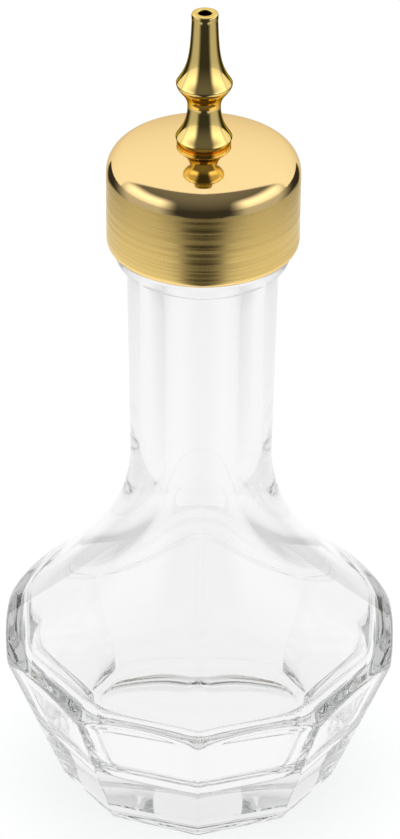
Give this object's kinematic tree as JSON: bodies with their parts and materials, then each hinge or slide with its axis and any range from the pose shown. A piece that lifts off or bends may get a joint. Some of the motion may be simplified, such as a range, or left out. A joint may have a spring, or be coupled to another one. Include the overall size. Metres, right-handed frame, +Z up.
{
  "type": "bitters bottle",
  "caption": "Ten-sided thick clear glass bottle with a slender neck, closed by a metal screw cap that carries a turned dasher spout.",
  "frame": {"origin": "centre of the base, on the plane that the bottle stands on", "axes": "+Z up along the bottle's axis, towards the spout; one corner of the ten-sided body faces -Y"},
  "size_m": [0.0576, 0.0592, 0.124],
  "materials": {
    "clear_glass": "clear, polished, very slightly grey-green in thick sections",
    "gold_metal": "warm gold plating, polished on the spout and the cap's top, finely brushed round the cap's side",
    "white_plastic": "moulded, satin",
    "soft_seal": "food-grade silicone, matt",
    "steel": "stainless, as turned"
  },
  "bodies": {
    "bottle": {"glass_bottle": "clear_glass"},
    "gasket": {"sealing_gasket": "soft_seal"},
    "cap": {"cap_shell": "gold_metal", "inner_cap": "white_plastic", "dasher_spout": "gold_metal", "spout_seal": "soft_seal", "spout_washer": "steel", "spout_nut": "steel"}
  },
  "joints": [
    {"name": "cap_lift", "type": "slide", "parent": "bottle", "child": "gasket", "axis": [0, 0, 1], "range_m": [0, 0.025]},
    {"name": "cap_turn", "type": "hinge", "parent": "gasket", "child": "cap", "pos_m": [0, 0, 0.0954], "axis": [0, 0, 1], "range_deg": [0, 540]}
  ],
  "couplings": [
    {"joint": "cap_lift", "follows": "cap_turn", "m_per_rad": 0.00265}
  ]
}
